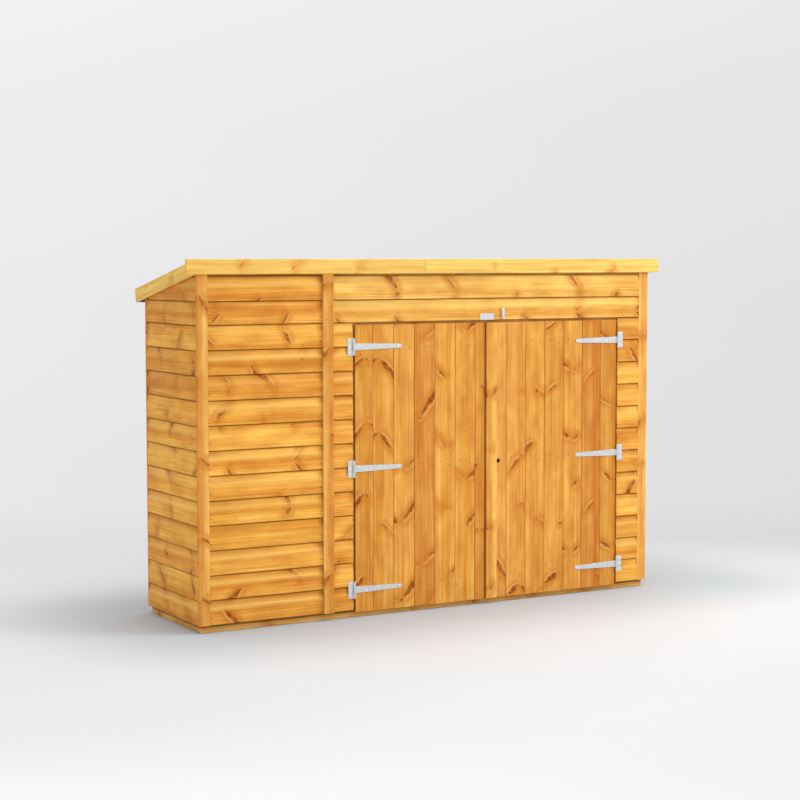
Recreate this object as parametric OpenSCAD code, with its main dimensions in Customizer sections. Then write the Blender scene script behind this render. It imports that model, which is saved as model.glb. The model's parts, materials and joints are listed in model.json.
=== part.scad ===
// Timber bike shed with a pent roof and a pair of ledged and braced doors.
// Millimetres, +Z up, front of the shed towards -Y, origin on the ground at the middle of the floor.

/* [Shed] */
// Width of the plain front panel, from the left end to the panel joint
left_panel_w = 638.5; // [400:0.5:900]
// Width of the wall between the panel joint and the doorway
left_jamb_w = 131; // [110:0.5:300]
// Width of the doorway
door_open_w = 1488.5; // [1300:0.5:1800]
// Width of the wall between the doorway and the right end
right_jamb_w = 182; // [130:0.5:300]
// Depth over the front and back claddings
shed_d = 590; // [500:5:900]
// Height of the front wall over the doorway, up to the roof boards
header_h = 269; // [160:1:400]
// Fall of the roof from front to back, degrees
roof_pitch = 11.2; // [5:0.1:14]

/* [Cladding] */
// Thickness of the shiplap boards
clad_t = 12; // [10:0.5:20]
// Height that each shiplap board covers
board_pitch = 110.1; // [90:0.1:140]
// Height of the lowest cladding edge above the ground
clad_bottom = 33; // [20:1:42]
// Height of the scoop along the top of each board
cove_h = 34; // [20:1:45]
// Depth of the scoop
cove_d = 5; // [2:0.5:7]
// How much less the first board over the door head covers
head_trim = 7; // [0:0.5:20]

/* [Framing] */
// Width of studs and rails, seen from inside
frame_w = 44; // [30:1:60]
// Depth of studs and rails behind the cladding
frame_t = 28; // [20:1:45]
// Short studs over the doorway
head_studs = 2; // [1:1:4]
// Studs between the ends of the longer back panel
back_panel_studs = 2; // [1:1:4]
// Clear joint between neighbouring wall panels
panel_gap = 1; // [0.5:0.5:4]
// Width of the cover strips on corners and panel joints
strip_w = 53; // [40:1:70]
// Thickness of the cover strips on panel joints and between the doors
strip_t = 12; // [8:1:20]

/* [Floor] */
// How far the floor stands in from the front and back cladding faces
floor_recess = 18; // [17:1:26]
// Clearance between the floor and the end claddings
floor_end_gap = 1; // [0.5:0.5:10]
// Height of the floor joists
joist_h = 44; // [43:1:70]
// Width of the floor joists
joist_w = 38; // [28:1:60]
// Thickness of the floor boards
floor_t = 12; // [9:1:20]

/* [Roof] */
// Thickness of the roof boards
deck_t = 12; // [9:1:20]
// Clearance between the walls and the roof boards that lie on them
roof_seat = 0.3; // [0.1:0.1:0.9]
// Thickness of the roofing felt
felt_t = 3; // [2:0.5:6]
// Length of the felt turned down at the back, from the underside of the boards
felt_drop = 46; // [20:1:60]
// Overhang of the roof boards beyond the back cladding
back_overhang = 80; // [20:1:120]
// How far the front fascia runs past each end cladding
fascia_over = 52; // [20:1:90]
// Depth of the barge boards
barge_h = 63; // [50:1:90]
// Thickness of the barge boards
barge_t = 12; // [10:1:22]
// How far the barge boards stand above the felt
barge_lip = 2; // [0:0.5:8]
// How far the barge boards run past the felt at the back
barge_past = 10; // [0:1:30]
// Height of the front fascia
fascia_h = 66; // [50:1:100]
// Thickness of the front fascia
fascia_t = 16; // [12:1:25]
// Height of the fascia top above the felt at the fascia
fascia_rise = 5; // [2:1:35]
// Width of the purlin under the roof boards
purlin_w = 28; // [20:1:45]
// Height of the purlin
purlin_h = 44; // [30:1:60]

/* [Doorway] */
// Whole shiplap boards below the door head
head_boards = 12; // [11:1:13]
// Clearance round the doors
door_gap = 10.5; // [6:0.5:14]
// Gap between the two doors where they meet
meet_gap = 5.5; // [5:0.5:10]
// Height of the door bottoms above the ground
door_bottom = 24; // [15:1:33]
// Width of the left door
left_door_w = 699.5; // [600:0.5:730]
// How far the door stops reach into the doorway
stop_w = 18; // [14:1:24]
// Clearance between the closed doors and their stops
stop_gap = 5; // [5:0.5:8]

/* [Doors] */
// Thickness of the tongued and grooved door boards
door_t = 12; // [10:0.5:14]
// Width that each door board covers
door_board = 110.5; // [90:0.5:140]
// Width of the board next to the hinges
hinge_board = 93; // [60:0.5:110]
// Width of the V joints between the door boards
vee_w = 5; // [2:0.5:8]
// Depth of the V joints
vee_d = 3; // [1:0.5:5]
// Height of the ledges across the back of the doors
ledge_h = 70; // [50:1:95]
// Thickness of ledges and braces
ledge_t = 20; // [16:1:24]
// Distance from a door's edge to the end of its ledges
ledge_in = 32; // [30:1:60]
// Width of the braces, measured along the ledges
brace_w = 80; // [50:1:110]
// Width of the cover strip where the doors meet
meet_strip_w = 57; // [45:1:60]

/* [Tee hinges] */
// Height of the lower hinges above the door bottoms
hinge_up = 105; // [80:1:200]
// Distance of the upper hinges below the door tops
hinge_down = 98; // [60:1:200]
// Height of the fixed plate
plate_h = 78; // [60:1:100]
// Width of the fixed plate
plate_w = 24; // [18:1:34]
// Thickness of plates and straps
hinge_t = 3; // [2:0.5:4]
// Radius of the knuckles
knuckle_r = 5.5; // [4.5:0.1:6]
// Radius of the hinge pin
pin_r = 2.2; // [1.5:0.1:2.4]
// Radial clearance of the pin
pin_clear = 0.1; // [0.05:0.01:0.2]
// Height of the strap's own knuckle
mid_knuckle_h = 34; // [30:1:45]
// Gap between the plates and the knuckles of the other half
plate_gap = 1; // [0.5:0.1:2]
// Gap above and below the strap's knuckle
knuckle_gap = 0.5; // [0.3:0.1:1.5]
// Distance of the hinge pins inside the doorway's edges
pin_in = 2; // [2:0.5:6]
// Reach of the strap from the hinge pin to its tip
strap_l = 252.5; // [180:0.5:320]
// Height of the strap at its root
strap_root = 32; // [24:1:34]
// Height of the strap at its tip
strap_tip = 19; // [12:1:22]

/* [Lock and turn button] */
// Distance of the keyhole below the middle hinges
key_drop = 5; // [0:1:20]
// Distance from the meeting edge to the keyhole
key_in = 73; // [70:1:80]
// Radius of the keyhole
key_r = 11; // [6:0.5:14]
// Width of the lock case
lock_w = 100; // [95:1:120]
// Height of the lock case
lock_h = 80; // [60:1:100]
// Depth of the lock case
lock_d = 20; // [14:1:24]
// Distance of the lock and its keep from the meeting edges
lock_edge = 1; // [0:0.5:3]
// Width of the keep on the left door
keep_w = 26; // [20:1:32]
// Distance from the meeting edge to the turn button
button_in = 92; // [90:1:140]
// Height of the button's pivot above the door head
button_up = 20; // [12:1:24]
// Width of the turn button at its round ends
button_w = 18; // [14:1:22]
// Width of the turn button at its waist
button_waist = 14; // [10:1:18]
// Length of the button's long arm
button_arm = 41; // [34:1:55]
// Length of the button's short arm
button_tail = 15; // [11:0.5:16]
// Thickness of the turn button
button_t = 8; // [5:0.5:10]
// Radius of the screw that the button turns on
screw_r = 2.5; // [1.5:0.1:4]
// Radius of the screw's head
screw_head_r = 5; // [4.5:0.1:7]
// Height of the screw's head
screw_head_t = 3; // [2:0.5:5]
// Gap between the button and the wall
button_off = 2; // [1:0.5:3]

/* [Hidden] */
$fn = 48;

// Wood, felt and metal colours
wood = "#d9983f";
pale_wood = "#e8b452";
frame_wood = "#d2a052";
felt = "#2b2b2c";
zinc = "#d3d3d0";

// Wall faces
shed_w = left_panel_w + left_jamb_w + door_open_w + right_jamb_w;
half_w = shed_w / 2;
half_d = shed_d / 2;
inner_w = half_w - clad_t;
inner_d = half_d - clad_t;
room_w = inner_w - frame_t;
room_d = inner_d - frame_t;
corner_x = half_w - strip_w;
floor_x = inner_w - floor_end_gap;
floor_top = joist_h + floor_t;
joint_x = left_panel_w - half_w;
left_end = joint_x - panel_gap / 2;
right_start = joint_x + panel_gap / 2;
function seam(k) = clad_bottom + k * board_pitch - (k > head_boards ? head_trim : 0);
head_z = seam(head_boards);
front_h = head_z + header_h;
wall_boards = ceil((front_h + 2 * clad_t + head_trim - clad_bottom) / board_pitch);
cove_steps = 6;
function between(a, b, count) = [for (k = [1 : count]) a + (b - a) * k / (count + 1)];

// Roof lines at any place from front to back: underside of the boards, and the walls just below it
slope = tan(roof_pitch);
function under(y) = front_h - (y + half_d) * slope;
function wall_top(y) = under(y) - roof_seat;
deck_v = deck_t / cos(roof_pitch);
felt_v = felt_t / cos(roof_pitch);
function felt_top(y) = under(y) + deck_v + felt_v;
deck_front = -half_d;
deck_back = half_d + back_overhang;
fascia_top = felt_top(deck_front) + fascia_rise;
fascia_low = fascia_top - fascia_h;

// Doorway and doors
open_l = joint_x + left_jamb_w;
open_r = open_l + door_open_w;
door_top = head_z - door_gap;
left_door_l = open_l + door_gap;
left_door_r = left_door_l + left_door_w;
right_door_l = left_door_r + meet_gap;
right_door_r = open_r - door_gap;
door_h = door_top - door_bottom;
door_back = -half_d + door_t;
hinge_y = -half_d - knuckle_r;
left_axis = open_l + pin_in;
right_axis = open_r - pin_in;
plate_clear = knuckle_r + plate_gap;
hinge_low = door_bottom + hinge_up;
hinge_high = door_top - hinge_down;
hinge_z = [hinge_low, (hinge_low + hinge_high) / 2, hinge_high];
key_x = right_door_l + key_in;
key_z = hinge_z[1] - key_drop;
button_x = right_door_l + button_in;
button_z = head_z + button_up;
lock_l = right_door_l + lock_edge;
ledge_lock_l = lock_l + lock_w + ledge_in / 2;
// A reach beyond the whole shed, and how far cuts and unions run past a face
far = 2 * shed_w;
past = 1;

// A slab with its outline given from front to back, drawn out between two places along the shed
module along(x0, x1)
    translate([x0, 0, 0])
        rotate([90, 0, 90])
            linear_extrude(x1 - x0)
                children();

// A box between two corners
module block(a, b)
    translate(a)
        cube(b - a);

// Everything below the roof boards
module below_roof()
    along(-far, far)
        polygon([[-shed_d, 0], [shed_d, 0], [shed_d, wall_top(shed_d)], [-shed_d, wall_top(-shed_d)]]);

// Shiplap from board number a up to board number b, with its face on the line y = 0
module shiplap_outline(a, b) {
    front = [for (k = [a : b - 1]) each concat(
        [[0, seam(k)]],
        [for (i = [0 : cove_steps]) let (t = 90 - 90 * i / cove_steps)
            [cove_d * cos(t), seam(k + 1) - cove_h * sin(t)]])];
    back = [for (k = [b, a]) [clad_t, seam(k)]];
    polygon(concat(front, back));
}

// A front wall's cladding between two places, cut off under the roof
module front_cladding(x0, x1, a, b)
    color(wood)
        intersection() {
            along(x0, x1)
                translate([-half_d, 0])
                    shiplap_outline(a, b);
            below_roof();
        }

// The back wall's cladding between two places
module back_cladding(x0, x1)
    color(wood)
        intersection() {
            mirror([0, 1, 0])
                along(x0, x1)
                    translate([-half_d, 0])
                        shiplap_outline(0, wall_boards);
            below_roof();
        }

// The left end's cladding, from the front strip to the back strip
module end_cladding()
    color(wood)
        intersection() {
            rotate([0, 0, -90])
                along(-inner_d, inner_d)
                    translate([-half_w, 0])
                        shiplap_outline(0, wall_boards);
            below_roof();
        }

module floor_long_joists()
    color(frame_wood)
        for (y = [-half_d + floor_recess, -joist_w / 2, half_d - floor_recess - joist_w])
            block([-floor_x, y, 0], [floor_x, y + joist_w, joist_h]);

module floor_cross_joists()
    color(frame_wood)
        for (x = [-floor_x, joint_x, -joint_x, floor_x - joist_w])
            for (side = [0, 1])
                mirror([0, side, 0])
                    block([x, joist_w / 2, 0], [x + joist_w, half_d - floor_recess - joist_w, joist_h]);

module floor_boards()
    color(pale_wood)
        block([-floor_x, -half_d + floor_recess, joist_h], [floor_x, half_d - floor_recess, floor_top]);

module front_panel_cladding() front_cladding(-corner_x, left_end, 0, wall_boards);

module left_jamb_cladding() front_cladding(right_start, open_l, 0, head_boards);

module right_jamb_cladding() front_cladding(open_r, corner_x, 0, head_boards);

module door_head_cladding() front_cladding(right_start, corner_x, head_boards, wall_boards);

module left_end_cladding() end_cladding();

module right_end_cladding() mirror([1, 0, 0]) end_cladding();

module back_left_cladding() back_cladding(-corner_x, left_end);

module back_right_cladding() back_cladding(right_start, corner_x);

// A stud in the front wall, from the bottom rail to the top rail
module front_stud(x, from_z = floor_top + frame_w)
    block([x, -inner_d, from_z], [x + frame_w, -room_d, under(-room_d) - frame_w]);

module front_studs()
    color(frame_wood) {
        for (x = [-inner_w, left_end - frame_w, right_start, open_l - frame_w, open_r, inner_w - frame_w])
            front_stud(x);
        for (x = between(open_l, open_r, head_studs))
            front_stud(x - frame_w / 2, head_z + frame_w);
    }

// A top rail with its upper face cut to the roof's slope
module top_rail(x0, x1, y0, y1)
    along(x0, x1)
        polygon([[y0, under(max(y0, y1)) - frame_w], [y1, under(max(y0, y1)) - frame_w],
            [y1, wall_top(y1)], [y0, wall_top(y0)]]);

module front_rails()
    color(frame_wood) {
        for (span = [[-inner_w, left_end], [right_start, open_l], [open_r, inner_w]])
            block([span[0], -inner_d, floor_top], [span[1], -room_d, floor_top + frame_w]);
        for (span = [[-inner_w, left_end], [right_start, inner_w]])
            top_rail(span[0], span[1], -inner_d, -room_d);
        block([open_l, -inner_d, head_z], [open_r, -room_d, head_z + frame_w]);
    }

module back_studs()
    color(frame_wood) {
        middles = [for (x = between(right_start, inner_w, back_panel_studs)) x - frame_w / 2];
        for (x = concat([-inner_w, left_end - frame_w, right_start], middles, [inner_w - frame_w]))
            block([x, room_d, floor_top + frame_w], [x + frame_w, inner_d, under(inner_d) - frame_w]);
    }

module back_rails()
    color(frame_wood)
        for (span = [[-inner_w, left_end], [right_start, inner_w]]) {
            block([span[0], room_d, floor_top], [span[1], inner_d, floor_top + frame_w]);
            top_rail(span[0], span[1], room_d, inner_d);
        }

// The sloping top rail and the level bottom rail of both ends
module end_rails()
    color(frame_wood)
        for (side = [0, 1])
            mirror([side, 0, 0]) {
                along(-inner_w, -room_w)
                    polygon([[-room_d, under(-room_d) - frame_w], [room_d, under(room_d) - frame_w],
                        [room_d, wall_top(room_d)], [-room_d, wall_top(-room_d)]]);
                block([-inner_w, -room_d, floor_top], [-room_w, room_d, floor_top + frame_w]);
            }

module end_studs()
    color(frame_wood)
        for (side = [0, 1])
            mirror([side, 0, 0])
                for (y = [-room_d, -frame_w / 2, room_d - frame_w])
                    along(-inner_w, -room_w)
                        polygon([[y, floor_top + frame_w], [y + frame_w, floor_top + frame_w],
                            [y + frame_w, wall_top(y + frame_w) - frame_w], [y, wall_top(y) - frame_w]]);

// Battens that the closed doors come to rest against
module door_stops()
    color(frame_wood) {
        stop_front = door_back + stop_gap;
        head_low = head_z - stop_w;
        for (x = [open_l, open_r - stop_w])
            block([x, stop_front, floor_top], [x + stop_w, -room_d, head_low - panel_gap]);
        block([open_l, stop_front, head_low], [open_r, -room_d, head_z]);
    }

// A corner strip flush with the front cladding, cut off under the roof
module corner_strip(x)
    color(wood)
        intersection() {
            block([x, -half_d, clad_bottom], [x + strip_w, -inner_d, far]);
            below_roof();
        }

module left_corner_strip() corner_strip(-half_w);

// Cover strip over the joint of the two front panels, up to the fascia
module panel_joint_strip()
    color(wood)
        block([joint_x - strip_w / 2, -half_d - strip_t, clad_bottom],
            [joint_x + strip_w / 2, -half_d, fascia_low]);

module right_corner_strip() corner_strip(corner_x);

// The flush corner strips of the back, and the cover strip over its panel joint
module back_cover_strips()
    color(wood)
        intersection() {
            for (place = [[-half_w, inner_d, half_d], [joint_x - strip_w / 2, half_d, half_d + strip_t],
                    [corner_x, inner_d, half_d]])
                block([place[0], place[1], clad_bottom], [place[0] + strip_w, place[2], far]);
            below_roof();
        }

module roof_purlin()
    color(frame_wood)
        along(-room_w, room_w) {
            half = purlin_w / 2;
            foot = under(half) - purlin_h;
            polygon([[-half, foot], [half, foot], [half, wall_top(half)], [-half, wall_top(-half)]]);
        }

module roof_deck()
    color(pale_wood)
        along(-half_w, half_w)
            polygon([[deck_front, under(deck_front)], [deck_back, under(deck_back)],
                [deck_back, under(deck_back) + deck_v], [deck_front, under(deck_front) + deck_v]]);

// Felt laid on the boards and turned down over their back edge
module roof_felt()
    color(felt)
        along(-half_w, half_w)
            polygon([[deck_front, under(deck_front) + deck_v], [deck_back, under(deck_back) + deck_v],
                [deck_back, under(deck_back) - felt_drop], [deck_back + felt_t, under(deck_back) - felt_drop],
                [deck_back + felt_t, felt_top(deck_back + felt_t)], [deck_front, felt_top(deck_front)]]);

module front_fascia()
    color(pale_wood)
        block([-half_w - fascia_over, deck_front - fascia_t, fascia_low],
            [half_w + fascia_over, deck_front, fascia_top]);

// A barge board on an end wall, from the fascia down the slope, its back end cut square
module barge_board()
    color(pale_wood)
        along(-half_w - barge_t, -half_w) {
            back = deck_back + felt_t + barge_past;
            drop = barge_h / cos(roof_pitch);
            cut_y = back - barge_h * sin(roof_pitch);
            front_z = felt_top(deck_front) + barge_lip;
            polygon([[deck_front, front_z], [deck_front, front_z - drop],
                [cut_y, felt_top(cut_y) + barge_lip - drop], [back, felt_top(back) + barge_lip]]);
        }

module left_barge_board() barge_board();

module right_barge_board() mirror([1, 0, 0]) barge_board();

// Fixed half of a tee hinge, drawn for the left door with the pin on the Z axis
module hinge_plate() {
    knuckle_h = (plate_h - mid_knuckle_h) / 2 - knuckle_gap;
    for (z = [-plate_h / 2, plate_h / 2 - knuckle_h])
        translate([0, 0, z]) {
            cylinder(r = knuckle_r, h = knuckle_h);
            block([-plate_clear, knuckle_r - hinge_t, 0], [0, knuckle_r, knuckle_h]);
        }
    translate([0, 0, -plate_h / 2])
        cylinder(r = pin_r, h = plate_h);
    block([-plate_clear - plate_w, knuckle_r - hinge_t, -plate_h / 2],
        [-plate_clear, knuckle_r, plate_h / 2]);
}

// Moving half of a tee hinge: knuckle and tapering strap with a round tip
module hinge_strap() {
    tip_r = strap_tip / 2;
    difference() {
        union() {
            translate([0, 0, -mid_knuckle_h / 2])
                cylinder(r = knuckle_r, h = mid_knuckle_h);
            translate([0, knuckle_r, 0])
                rotate([90, 0, 0])
                    linear_extrude(hinge_t) {
                        polygon([[0, -strap_root / 2], [strap_l - tip_r, -tip_r],
                            [strap_l - tip_r, tip_r], [0, strap_root / 2]]);
                        translate([strap_l - tip_r, 0])
                            circle(r = tip_r);
                    }
        }
        translate([0, 0, -plate_h])
            cylinder(r = pin_r + pin_clear, h = 2 * plate_h);
    }
}

// The three hinge halves on the left doorpost, or mirrored on the right one
module hinge_row(axis_x, side)
    color(zinc)
        for (z = hinge_z)
            translate([axis_x, hinge_y, z])
                mirror([side, 0, 0])
                    children();

module left_hinge_plates() hinge_row(left_axis, 0) hinge_plate();

module right_hinge_plates() hinge_row(right_axis, 1) hinge_plate();

module left_hinge_straps() hinge_row(left_axis, 0) hinge_strap();

module right_hinge_straps() hinge_row(right_axis, 1) hinge_strap();

// Tongued and grooved boards with V joints, from one edge to the other
module door_leaf(x0, x1, joints)
    translate([0, -half_d, door_bottom])
        linear_extrude(door_h)
            polygon(concat([[x0, 0]],
                [for (x = joints) each [[x - vee_w / 2, 0], [x, vee_d], [x + vee_w / 2, 0]]],
                [[x1, 0], [x1, door_t], [x0, door_t]]));

module left_door_boards()
    color(wood)
        door_leaf(left_door_l, left_door_r,
            [for (x = left_door_l + hinge_board; x < left_door_r - vee_w; x = x + door_board) x]);

module right_door_boards()
    color(wood)
        difference() {
            count = floor((right_door_r - right_door_l - hinge_board - vee_w) / door_board);
            door_leaf(right_door_l, right_door_r,
                [for (k = [count : -1 : 0]) right_door_r - hinge_board - k * door_board]);
            translate([key_x, -half_d - past, key_z])
                rotate([-90, 0, 0])
                    cylinder(r = key_r, h = door_t + 2 * past);
        }

// One ledge across the back of a door
module ledge(x0, x1, z)
    block([x0, door_back, z - ledge_h / 2], [x1, door_back + ledge_t, z + ledge_h / 2]);

module left_door_ledges()
    color(frame_wood)
        for (z = hinge_z)
            ledge(left_door_l + ledge_in, left_door_r - ledge_in, z);

module right_door_ledges()
    color(frame_wood)
        for (z = hinge_z)
            ledge(z == hinge_z[1] ? ledge_lock_l : right_door_l + ledge_in, right_door_r - ledge_in, z);

// A brace that rises from the foot at x0 to the head at x1, between two ledges
module brace(x0, x1, z0, z1)
    translate([0, door_back + ledge_t, 0])
        rotate([90, 0, 0])
            linear_extrude(ledge_t)
                polygon([[x0 - brace_w / 2, z0 + ledge_h / 2], [x0 + brace_w / 2, z0 + ledge_h / 2],
                    [x1 + brace_w / 2, z1 - ledge_h / 2], [x1 - brace_w / 2, z1 - ledge_h / 2]]);

// Both braces of a door, each rising away from the hinges
module door_braces(foot, head)
    color(frame_wood)
        for (k = [0, 1])
            brace(foot, head, hinge_z[k], hinge_z[k + 1]);

module left_door_braces() door_braces(left_door_l + ledge_in + brace_w / 2, left_door_r - ledge_in - brace_w);

module right_door_braces()
    door_braces(right_door_r - ledge_in - brace_w / 2, ledge_lock_l + brace_w / 2);

module meeting_strip()
    color(wood)
        block([right_door_l, -half_d - strip_t, door_bottom],
            [right_door_l + meet_strip_w, -half_d, door_top]);

// Lock case on the back of the right door, with the key's way through it
module rim_lock()
    color(felt)
        difference() {
            block([lock_l, door_back, key_z - lock_h / 2],
                [lock_l + lock_w, door_back + lock_d, key_z + lock_h / 2]);
            translate([key_x, door_back - past, key_z])
                rotate([-90, 0, 0])
                    cylinder(r = key_r / 2, h = lock_d + 2 * past);
        }

// Keep for the bolt, on the back of the left door
module lock_keep()
    color(felt)
        block([left_door_r - lock_edge - keep_w, door_back, key_z - lock_h / 2],
            [left_door_r - lock_edge, door_back + lock_d, key_z + lock_h / 2]);

// Button that turns on its screw, long arm up at rest and down over the door when turned
module turn_button()
    color(zinc)
        translate([button_x, -half_d - button_off, button_z])
            rotate([90, 0, 0])
                linear_extrude(button_t)
                    difference() {
                        union() {
                            end_r = button_w / 2;
                            translate([-button_waist / 2, end_r - button_tail])
                                square([button_waist, button_tail + button_arm - button_w]);
                            for (z = [end_r - button_tail, button_arm - end_r])
                                translate([0, z])
                                    circle(r = end_r);
                        }
                        circle(r = screw_r + pin_clear);
                    }

module button_screw()
    color(zinc)
        translate([button_x, -half_d, button_z])
            rotate([90, 0, 0]) {
                cylinder(r = screw_r, h = button_off + button_t + knuckle_gap);
                translate([0, 0, button_off + button_t + knuckle_gap])
                    cylinder(r = screw_head_r, h = screw_head_t);
            }

floor_long_joists();
floor_cross_joists();
floor_boards();
front_panel_cladding();
left_jamb_cladding();
right_jamb_cladding();
door_head_cladding();
left_end_cladding();
right_end_cladding();
back_left_cladding();
back_right_cladding();
front_studs();
front_rails();
back_studs();
back_rails();
end_studs();
end_rails();
door_stops();
left_corner_strip();
panel_joint_strip();
right_corner_strip();
back_cover_strips();
roof_purlin();
roof_deck();
roof_felt();
front_fascia();
left_barge_board();
right_barge_board();
left_hinge_plates();
right_hinge_plates();
left_door_boards();
left_door_ledges();
left_door_braces();
left_hinge_straps();
lock_keep();
right_door_boards();
right_door_ledges();
right_door_braces();
right_hinge_straps();
meeting_strip();
rim_lock();
turn_button();
button_screw();
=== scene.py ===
import json
import math
import random
import bmesh
import bpy
from mathutils import Matrix, Vector


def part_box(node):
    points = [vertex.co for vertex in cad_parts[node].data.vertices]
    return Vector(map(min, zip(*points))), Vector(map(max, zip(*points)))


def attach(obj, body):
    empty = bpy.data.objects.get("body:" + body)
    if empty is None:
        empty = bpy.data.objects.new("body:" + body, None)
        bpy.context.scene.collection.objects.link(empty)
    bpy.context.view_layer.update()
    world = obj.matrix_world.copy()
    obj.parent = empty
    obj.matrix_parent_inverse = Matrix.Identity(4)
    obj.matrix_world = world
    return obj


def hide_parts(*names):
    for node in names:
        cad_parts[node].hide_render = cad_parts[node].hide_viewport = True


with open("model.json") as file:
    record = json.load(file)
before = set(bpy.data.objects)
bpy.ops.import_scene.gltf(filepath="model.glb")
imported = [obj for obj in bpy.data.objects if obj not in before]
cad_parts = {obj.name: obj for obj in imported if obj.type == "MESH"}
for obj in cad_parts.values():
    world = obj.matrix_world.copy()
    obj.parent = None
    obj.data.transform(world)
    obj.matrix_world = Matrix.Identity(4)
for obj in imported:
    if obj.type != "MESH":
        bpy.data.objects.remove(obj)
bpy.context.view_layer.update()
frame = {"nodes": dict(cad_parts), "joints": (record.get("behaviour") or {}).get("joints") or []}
cadNodes = frame["nodes"]
draw = random.Random(8)            # one seeded source, so that every run gives the same boards
xAxis, yAxis, zAxis = Vector((1, 0, 0)), Vector((0, 1, 0)), Vector((0, 0, 1))
print("frame loaded:", len(cadNodes), "nodes")


def linear(hexColour):             # sRGB hex to the linear values that the nodes take
    values = [int(hexColour[k:k + 2], 16) / 255 for k in (1, 3, 5)]
    return [v / 12.92 if v <= 0.04045 else ((v + 0.055) / 1.055) ** 2.4 for v in values] + [1.0]


def addNode(tree, kind, links=None, **settings):
    node = tree.nodes.new(kind)
    for name, value in settings.items():
        setattr(node, name, value)
    for socket, source in (links or {}).items():
        if isinstance(source, bpy.types.Node):
            source = source.outputs[0]
        if isinstance(source, bpy.types.NodeSocket):
            tree.links.new(source, node.inputs[socket])
        else:
            node.inputs[socket].default_value = source
    return node


def calc(tree, operation, *values):
    return addNode(tree, "ShaderNodeMath", dict(enumerate(values)), operation=operation)


def calcVector(tree, operation, *values):
    return addNode(tree, "ShaderNodeVectorMath", dict(enumerate(values)), operation=operation)


def easeBetween(tree, value, start, end):      # 0 at start, 1 at end, soft at both
    return addNode(tree, "ShaderNodeMapRange", {"Value": value, 1: start, 2: end}, interpolation_type="SMOOTHSTEP")


def mixColours(tree, amount, first, second, **settings):
    return addNode(tree, "ShaderNodeMix", {0: amount, 6: first, 7: second}, data_type="RGBA", **settings).outputs[2]


def newMaterial(name):
    material = bpy.data.materials.new(name)
    material.use_nodes = True
    return material, material.node_tree, material.node_tree.nodes["Principled BSDF"]


# A branch is a cone from the pith up and out through the log. Where a board's face cuts it, it shows as
# a round knot, an oval or a long spike. All lengths are metres in the log: along it, across it, out from it.
branchLook = {
    "leastTilt": 0.64, "tiltSpread": 0.5,      # angle between branch and pith, radians
    "thin": 0.0035, "thick": 0.0142,           # radius of the full-grown branch
    "grownAt": 0.050,                          # distance from the pith where it is full-grown
    "begun": (0.004, 0.020),                   # distances from the pith over which its marks come in
    "edge": 0.0060, "rim": 0.0034, "halo": 0.036, "flank": (0.012, 0.001),
    "leastBark": 0.08,                         # share of the dark rim that the lower side keeps
    "bare": 0.42,                              # share of the places in a whorl that grew no branch
}


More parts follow.
